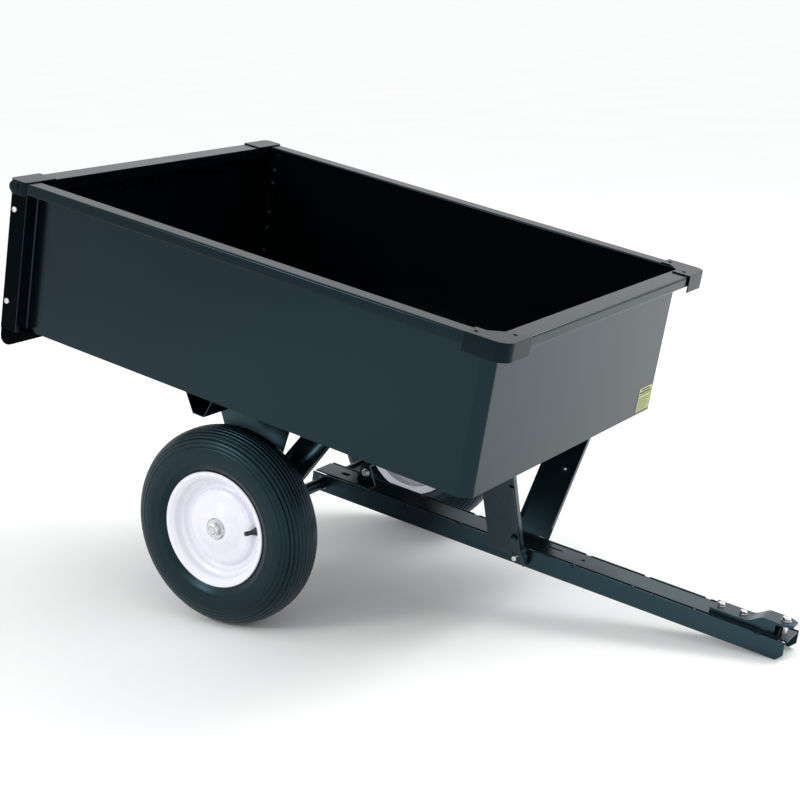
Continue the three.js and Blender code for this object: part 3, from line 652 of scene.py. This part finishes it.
for name, side in SIDES:
    wheel = f"wheel_{name}"
    profile = tyre_profile(wheel_y, tyre_half, tyre_radius, BEAD_RADIUS)
    tyre_parts = [lathe(profile, 144), *vent_pips(wheel_y, tyre_half)]
    make(f"tyre_{name}_ribbed", tyre_parts, BED, wheel, TYRE, [f"tyre_{name}"], side, 0, angle=60)
    rim = lathe(rim_profile(wheel_y), 128)
    make(f"rim_{name}_pressed", [rim], BED, wheel, ENAMEL, [f"wheel_rim_{name}"], side, 0, angle=50)
    hub = lathe(rounded([
        (HUB_BORE, hub_low.y), (HUB_RADIUS, hub_low.y), (HUB_RADIUS, hub_high.y - 5),
        (HUB_MOUTH, hub_high.y), (HUB_BORE, hub_high.y),
    ], [0.5, 1, 3, 1.5, 0.5], closed=True))
    make(f"hub_{name}_sleeve", [hub], BED, wheel, ENAMEL, [f"wheel_hub_{name}"], side, 0)
    make(f"valve_{name}", valve(VALVE_X, VALVE_Z), BED, wheel, VALVE, [f"valve_stem_{name}"], side, 0)
    nut = hexagon(NUT_ACROSS, nut_high.y - nut_low.y, NUT_BORE, nut_low.y)
    make(f"wheel_nut_{name}_hex", [nut], TONGUE, "chassis", ZINC, [f"wheel_nut_{name}"], side, 0, angle=25)
    disc = washer(WASHER_BORE, WASHER_RADIUS, wash_low.y, wash_high.y)
    make(f"wheel_washer_{name}_disc", [disc], TONGUE, "chassis", ZINC, [f"wheel_washer_{name}"], side, 0)
    collar = washer(COLLAR_BORE, HUB_RADIUS, collar_low.y, collar_high.y)
    make(f"axle_collar_{name}_ring", [collar], TONGUE, "chassis", ZINC, [f"axle_collar_{name}"], side, 0)

_, shaft_high = span("axle_shaft", TONGUE)
bar_end = hub_high.y
bar = lathe(rounded([
    (0, -bar_end), (AXLE_RADIUS, -bar_end), (AXLE_RADIUS, bar_end), (0, bar_end),
], [0, 0.8, 0.8, 0], True), 64)
make("axle_bar", [bar], TONGUE, "chassis", FRAME_PAINT, ["axle_shaft"], 1, 0)
for name, side in SIDES:
    end = threaded(AXLE_END_RADIUS, bar_end + 0.05, shaft_high.y)
    make(f"axle_end_{name}", [end], TONGUE, "chassis", ZINC, [], side, 0)

# ---- the tub ----

side_low, side_high = span("side_panel_left", BED)
_, front_high = span("front_panel", BED)
SHEET = 2.0
WALL_LOW = side_low.z
RIM_TOP = side_high.z
RAIL_OUT = side_high.y
WEB_Y = 386.0
LIP_LOW = RIM_TOP - 22
RAIL_MID = RIM_TOP - SHEET / 2
SEAM_X = front_high.x - 37 - 22
FRONT_X = 510.0
CORNER_BEVEL = 18.4
SIDE_RAIL_INNER, FRONT_RAIL_INNER = 381, 505
FRONT_RAIL_HALF = 379.6  # the front rail runs this far each way and meets the side rails
RAIL_BENDS = [0, 2.2, 3.4, 2.0, 0]


def rail_path(inner, outer):
    """The section of a rim rail: an inner lip, the flat top and a deeper outer lip with a hem."""
    return [
        (inner + SHEET / 2, RIM_TOP - 9), (inner + SHEET / 2, RAIL_MID), (outer - SHEET / 2, RAIL_MID),
        (outer - SHEET / 2, LIP_LOW + SHEET / 2), (outer - 8, LIP_LOW + SHEET / 2),
    ]


for name, side in SIDES:
    web = folded(
        [(SEAM_X - 0.1, WEB_Y), (side_low.x + 1, WEB_Y), (side_low.x + 1, RAIL_OUT - 0.3)],
        4, SHEET, WALL_LOW, RIM_TOP - SHEET - 0.1, "xy",
    )
    rail = folded(rail_path(SIDE_RAIL_INNER, RAIL_OUT), RAIL_BENDS, SHEET, side_low.x, side_high.x, "yz")
    make(f"tub_side_{name}", [web], BED, "bed", PAINT, [f"side_panel_{name}"], side, 0.2)
    make(f"tub_rail_{name}", [rail], BED, "bed", RAIL_PAINT, [], side, 0.2)

web = folded([
    (SEAM_X, -WEB_Y), (FRONT_X - CORNER_BEVEL, -WEB_Y), (FRONT_X, -WEB_Y + CORNER_BEVEL),
    (FRONT_X, WEB_Y - CORNER_BEVEL), (FRONT_X - CORNER_BEVEL, WEB_Y), (SEAM_X, WEB_Y),
], [0, 3, 6, 6, 3, 0], SHEET, WALL_LOW, RIM_TOP - SHEET - 0.1, "xy")
front_section = rail_path(FRONT_RAIL_INNER, front_high.x)
rail = folded(front_section, RAIL_BENDS, SHEET, -FRONT_RAIL_HALF, FRONT_RAIL_HALF, "xz")
make("tub_front", [web], BED, "bed", PAINT, ["front_panel"], 1, 0.2)
make("tub_rail_front", [rail], BED, "bed", RAIL_PAINT, [], 1, 0.2)
softened("tub_floor", BED, "bed", PAINT, 0.5)
softened("rear_sill", BED, "bed", DULL_PAINT, 0.8)

CAP_RIVETS = (478, 401), (529, 356)  # (x, y) on the corner cap
CAP_THICKNESS = 2.5
PLUG_BACK, PLUG_DOWN = 15, 14  # the round plug's place on the tailgate's cap
CLAMP_INNER = 378.7
CLAMP_REAR, CLAMP_FRONT = -524, -502
CLAMP_RIVET_X, CLAMP_RIVET_HEIGHTS = -513, (300, 354, 392, 462, 492)
SCREW_HEAD = (
    (0, 1.4), (2.0, 1.4), (2.5, 2.9), (4.2, 2.7), (5.4, 1.9), (6, 0.4), (6, 0), (2.6, 0),
    (2.6, -1.8), (0, -1.8),
)

for name, side in SIDES:
    rivets = []
    for x, y in CAP_RIVETS:
        rivets.append(moved(dome(4.2, 1.8, 0, 0.5, 24), at(x, y, RIM_TOP + CAP_THICKNESS) @ TO_Z))
    softened(f"corner_cap_{name}", BED, "bed", CAP, 1.0, 3, rivets, side)
    cap_low, cap_high = span("tailgate_cap_left", BED)
    plug_place = at(cap_low.x + PLUG_BACK, cap_high.y - 0.4, cap_high.z - PLUG_DOWN)
    plug = moved(dome(12, 2.6, 0, 1.2, 40), plug_place)
    softened(f"tailgate_cap_{name}", BED, "tailgate", CAP, 1.6, 3, [plug], side)
    softened(f"tailgate_guide_{name}", BED, "bed", DULL_PAINT, 0.9, 3, (), side)
    bar_low, bar_high = span(f"guide_bar_{name}", BED)
    strap = block((CLAMP_REAR, CLAMP_INNER + 3.5, bar_low.z), (CLAMP_FRONT, CLAMP_INNER + 6, bar_high.z))
    heads = []
    for z in CLAMP_RIVET_HEIGHTS:
        heads.append(moved(dome(5.5, 3.4, 0, 0.6, 24), at(CLAMP_RIVET_X, CLAMP_INNER + 3.6, z) @ FLIP))
    make(f"clamp_bar_{name}", [strap, *heads], BED, "bed", FRAME_PAINT, [f"guide_bar_{name}"], side, 0.5)
    for level in ("upper", "lower"):
        screw = f"guide_screw_{level}_{name}"
        low, high = span(screw, BED)
        x, z = (low.x + high.x) / 2, (low.z + high.z) / 2
        socket = moved(lathe(SCREW_HEAD, 36), at(x, RAIL_OUT + 0.3, z))
        make(f"{screw}_head", [socket], BED, "bed", ZINC, [screw], side, 0)
    for end in ("rear", "front"):
        bolt = f"support_bolt_{end}_{name}"
        low, high = span(bolt, BED)
        x, y = (low.x + high.x) / 2, abs(low.y + high.y) / 2
        place = at(x, y, high.z) @ TO_Z @ FLIP
        head = [moved(washer(4, 9, 0, 1.2), place), moved(hexagon(13, 3.8, 0, 1.2), place)]
        make(f"{bolt}_head", head, BED, "bed", ZINC, [bolt], side, 0, angle=25)
    softened(f"axle_support_{name}", BED, "bed", FRAME_PAINT, 0.7, 2, (), side)
    softened(f"support_brace_{name}", BED, "bed", FRAME_PAINT, 0.6, 2, (), side)
    softened(f"outrigger_{name}", BED, "bed", FRAME_PAINT, 0.7, 2, (), side)
    softened(f"stand_leg_{name}", BED, "bed", FRAME_PAINT, 0.9, 3, (), side)

softened("tailgate", BED, "tailgate", PAINT, 0.6, 2)

# ---- the stand's fasteners and the latch ----

LEG_OUT = Vector(joints["latch_swing"]["axis"]).normalized()


def facing(centre, direction):
    """The place in the world of a piece that is drawn along +Y and then points in the direction."""
    turn = Vector((0, 1, 0)).rotation_difference(direction)
    return Matrix.Translation(centre) @ turn.to_matrix().to_4x4()


def node_middle(name):
    """The middle of a CAD node's box, in the world."""
    low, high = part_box(name)
    return (low + high) / 2


for name, side in SIDES:
    outward = Vector((LEG_OUT.x, LEG_OUT.y * -side, LEG_OUT.z))
    place = facing(node_middle(f"stand_bolt_{name}"), -outward)
    nut = [washer(4, 8, -2.6, -1.6), hexagon(11, 3.4, 3.3, -1.6)]
    make(f"stand_bolt_{name}_nut", nut, place, "bed", FRAME_PAINT, [f"stand_bolt_{name}"], 1, 0, angle=25)
    end = threaded(3.2, -2.4, 3.4, 1.0)
    make(f"stand_bolt_{name}_end", [end], place, "bed", ZINC, [], 1, 0)

latch_place = facing(node_middle("latch_bolt"), LEG_OUT)
head = [hexagon(11, 3.0, 0, 0.0), washer(4, 8.0, -1.2, -0.1), threaded(4.6, -5.2, -1, 1.2)]
make("latch_bolt_head", head, latch_place, "bed", FRAME_PAINT, ["latch_bolt"], 1, 0, angle=25)
softened("latch_lever", BED, "latch", FRAME_PAINT, 0.9, 3)

# ---- the tongue and the hitch ----

tongue_low, tongue_high = span("tongue_channel", TONGUE)
T_TOP = tongue_high.z
T_LOW = tongue_low.z
T_HALF = tongue_high.y
T_REAR, T_FRONT = tongue_low.x, tongue_high.x
NOTCHES = [202 + 127 * i for i in range(7)]
HITCH_BOLTS = (876, 920)
SLIT_INNER = 10.0  # from the outside of the tongue to the inner edge of its long slits
PIN_X = 1001
NOSE_CHAMFER = 12
NOTCH_DEPTH = 2.2
STAND_PIN_X = 470  # the stop pin's hole through both walls
PLATE_HOLE_X = 588
REAR_SLOT = (22, 42, -6.5, 6.5)  # x0, x1, y0, y1
EDGE_SLOT = (506, 540, 4, 9)
GUSSET_SIDE_Y = -11.3
STOP_PIN_HALF = 60


def tongue_wall():
    """A side wall of the tongue. Its top edge dips at each bridge to the top plate."""
    top = T_TOP - 0.5
    line = [(T_REAR, T_LOW), (T_FRONT - NOSE_CHAMFER, T_LOW), (T_FRONT, T_LOW + NOSE_CHAMFER), (T_FRONT, top)]
    for x in reversed(NOTCHES):
        line += [(x + 6, top), (x + 4.5, top - NOTCH_DEPTH), (x - 4.5, top - NOTCH_DEPTH), (x - 6, top)]
    line.append((T_REAR, top))
    holes = [circle(0, 0, 13), circle(STAND_PIN_X, 0, 5.4, 20)]
    return prism(line, T_HALF - 2.6, T_HALF, "xz", holes)


def tongue_top():
    """The top plate between the slits, with its two slots and the holes for the hitch bolts and the pin."""
    half = T_HALF - SLIT_INNER
    holes = [circle(PLATE_HOLE_X, 0, 4.5, 24), circle(PIN_X, 0, 6.6)]
    holes += [circle(x, 0, 5, 24) for x in HITCH_BOLTS]
    for (x0, x1, y0, y1), bend in ((REAR_SLOT, 6.4), (EDGE_SLOT, 2.4)):
        holes.append(rounded([(x0, y0), (x1, y0), (x1, y1), (x0, y1)], bend, closed=True))
    outline = [(T_REAR, -half), (T_FRONT, -half), (T_FRONT, half), (T_REAR, half)]
    return prism(outline, T_TOP - 3, T_TOP, "xy", holes)


def tongue_bridges():
    """The short bridges left between the long slits, where the plate was folded."""
    made = []
    for x in NOTCHES:
        line = [(T_HALF - SLIT_INNER - 1, T_TOP - 1.6), (T_HALF - 3, T_TOP - 2.2), (T_HALF - 1.4, T_TOP - 6)]
        made.append(prism(sheet_outline(rounded(line, 2.5), 2.0), x - 2.5, x + 2.5, "yz"))
    return made


def both_sides(build):
    """The solids that build() draws at +Y, and the same again at -Y."""
    mirror = Matrix.Diagonal((1, -1, 1, 1))
    parts = build()
    copies = [moved(part, mirror) for part in build()]
    for part in copies:
        bmesh.ops.reverse_faces(part, faces=part.faces)
    return parts + copies


tongue_parts = [tongue_top(), *both_sides(lambda: [tongue_wall()]), *both_sides(tongue_bridges)]
make("tongue_folded", tongue_parts, TONGUE, "chassis", FRAME_PAINT, ["tongue_channel"], 1, 0.5, 3)
softened("hitch_strap", TONGUE, "chassis", FRAME_PAINT, 1.0, 3)
softened("tongue_gusset", TONGUE, "chassis", FRAME_PAINT, 0.7, 2)

_, strap_high = span("hitch_strap", TONGUE)
for end, x in zip(("rear", "front"), HITCH_BOLTS):
    low, high = span(f"hitch_bolt_{end}", TONGUE)
    seat = high.z - 6
    parts = [washer(4.8, 7.6, 0, 0.8), hexagon(12.6, 5.6, 0, 0.8)]
    parts.append(moved(threaded(4.7, 0, seat - low.z, 1.25), FLIP))
    parts = [moved(part, at(x, 0, seat) @ TO_Z) for part in parts]
    make(f"hitch_bolt_{end}_hex", parts, TONGUE, "chassis", ZINC, [f"hitch_bolt_{end}"], 1, 0, angle=25)
    low, high = span(f"hitch_nut_{end}", TONGUE)
    nut = moved(hexagon(14, high.z - low.z, 4.9), at(x, 0, high.z) @ TO_Z @ FLIP)
    make(f"hitch_nut_{end}_hex", [nut], TONGUE, "chassis", ZINC, [f"hitch_nut_{end}"], 1, 0, angle=25)

pin_low, _ = span("hitch_pin", TONGUE)
pin_seat = strap_high.z + 0.3
shank = lathe(rounded([
    (0, pin_low.z), (4.2, pin_low.z), (6, pin_low.z + 3), (6, pin_seat + 1), (0, pin_seat + 1),
], [0, 1, 2, 0, 0], True), 48)
pin = [shank, washer(6, 9.6, pin_seat, pin_seat + 1.2), hexagon(15, 5.8, 0, pin_seat + 1.2)]
pin = [moved(part, at(PIN_X, 0, 0) @ TO_Z) for part in pin]
make("hitch_pin_turned", pin, TONGUE, "hitch_pin", ZINC, ["hitch_pin"], 1, 0, angle=25)

gusset_low, gusset_high = span("gusset_bolt", TONGUE)
bolt_x, bolt_z = (gusset_low.x + gusset_high.x) / 2, (gusset_low.z + gusset_high.z) / 2
bolt = [washer(4.8, 8.4, 0, 1.2), hexagon(13, 5, 0, 1.2), moved(threaded(4.7, 0, 9.5, 1.25), FLIP)]
bolt = [moved(part, at(bolt_x, GUSSET_SIDE_Y, bolt_z) @ FLIP) for part in bolt]
make("gusset_bolt_hex", bolt, TONGUE, "chassis", ZINC, ["gusset_bolt"], 1, 0, angle=25)

stop_low, stop_high = span("stand_stop_pin", TONGUE)
stop_x = (stop_low.x + stop_high.x) / 2
stop = [
    lathe(rounded([
        (0, -STOP_PIN_HALF), (5, -STOP_PIN_HALF), (5, STOP_PIN_HALF), (0, STOP_PIN_HALF),
    ], [0, 1.4, 0.6, 0], True), 40),
    moved(dome(8, 6.4, 0, 2.6, 40), at(0, STOP_PIN_HALF - 0.4, 0)),
]
stop = [moved(part, at(stop_x, 0, 0)) for part in stop]
make("stop_pin_headed", stop, TONGUE, "chassis", ZINC, ["stand_stop_pin"], 1, 0)

# ---- the decal: plain blocks of colour with plain bars ----

decal_low, decal_high = span("safety_decal", BED)
face_x = decal_low.x
split_z = decal_high.z - 16
FILM_THICKNESS = 0.35
INK_BACK, INK_FACE = 0.30, 0.45  # the ink's sheet, from the back of the film


def ink_bar(y0, y1, z0, z1):
    return block((face_x + INK_BACK, y0, z0), (face_x + INK_FACE, y1, z1))


film_parts = []
for low_z, high_z in ((decal_low.z, split_z - 1.0), (split_z + 0.6, decal_high.z)):
    corners = [(decal_low.y, low_z), (decal_high.y, low_z), (decal_high.y, high_z), (decal_low.y, high_z)]
    film_parts.append(prism(rounded(corners, 1.5, closed=True), face_x, face_x + FILM_THICKNESS, "yz"))
make("decal_blocks", film_parts, BED, "bed", DECAL, ["safety_decal"], 1, 0.08)
bars = []
for k, share in enumerate((0.86, 0.62)):
    z = split_z + 3.4 + 6.0 * k
    middle, reach = (decal_low.y + decal_high.y) / 2, share * (decal_high.y - decal_low.y) / 2
    bars.append(ink_bar(middle - reach, middle + reach, z, z + 3.4))
for k in range(6):
    z = decal_low.z + 4.0 + 4.7 * k
    short = 10 if k % 3 == 0 else 0
    bars.append(ink_bar(decal_low.y + 4, decal_high.y - 4 - short, z, z + 1.5))
make("decal_bars", bars, BED, "bed", DECAL_INK, [], 1, 0.05)

# ---- the stage ----


FLOOR_REACH = 120.0


def pale_floor():
    material, tree, shader = new_material("pale_floor", Roughness=0.9, IOR=1.2)
    tone = remap(tree, object_noise(tree, 1.5, 3), 0.3, 0.7, 0, 1)
    colour = mixed(tree, tone, (0.955, 0.96, 0.965), (0.975, 0.98, 0.98))
    tree.links.new(colour, shader.inputs["Base Color"])
    return material


floor_mesh = bpy.data.meshes.new("floor")
floor_corners = [(x * FLOOR_REACH, y * FLOOR_REACH, 0) for x, y in ((-1, -1), (1, -1), (1, 1), (-1, 1))]
floor_mesh.from_pydata(floor_corners, [], [(0, 1, 2, 3)])
floor_mesh.materials.append(pale_floor())
floor = bpy.data.objects.new("floor", floor_mesh)
bpy.context.scene.collection.objects.link(floor)

world = bpy.data.worlds.new("studio")
world.use_nodes = True
background = world.node_tree.nodes["Background"]
background.inputs["Color"].default_value = (1.0, 1.0, 1.0, 1)
background.inputs["Strength"].default_value = 1.0
bpy.context.scene.world = world


def softbox(name, location, target, size, power):
    """A rectangular area light in metres and watts, turned towards the target."""
    data = bpy.data.lights.new(name, "AREA")
    data.shape = "RECTANGLE"
    data.size, data.size_y = size
    data.energy = power
    lamp = bpy.data.objects.new(name, data)
    bpy.context.scene.collection.objects.link(lamp)
    aim = Vector(target) - Vector(location)
    lamp.matrix_world = Matrix.Translation(location) @ aim.to_track_quat("-Z", "Y").to_matrix().to_4x4()
    lamp.visible_camera = False


softbox("key", (1.6, 2.6, 3.2), (0, 0, 0.3), (2.4, 2.0), 90)
softbox("fill", (-1.5, -3.0, 1.9), (-0.25, -0.36, 0.2), (0.8, 0.8), 26)

# ---- the camera ----

camera_data = bpy.data.cameras.new("camera")
camera_data.sensor_width = 36
camera_data.lens = 79.8
camera = bpy.data.objects.new("camera", camera_data)
bpy.context.scene.collection.objects.link(camera)
camera_place = Vector((1.782, -2.937, 1.221))
camera_aim = Vector((-0.401, 0.514, 0.2386))
camera_roll = Quaternion((0, 0, 1), math.radians(-1.11))
turn = (camera_aim - camera_place).to_track_quat("-Z", "Y") @ camera_roll
camera.matrix_world = Matrix.Translation(camera_place) @ turn.to_matrix().to_4x4()
bpy.context.scene.camera = camera
bpy.context.scene.view_settings.view_transform = "Standard"
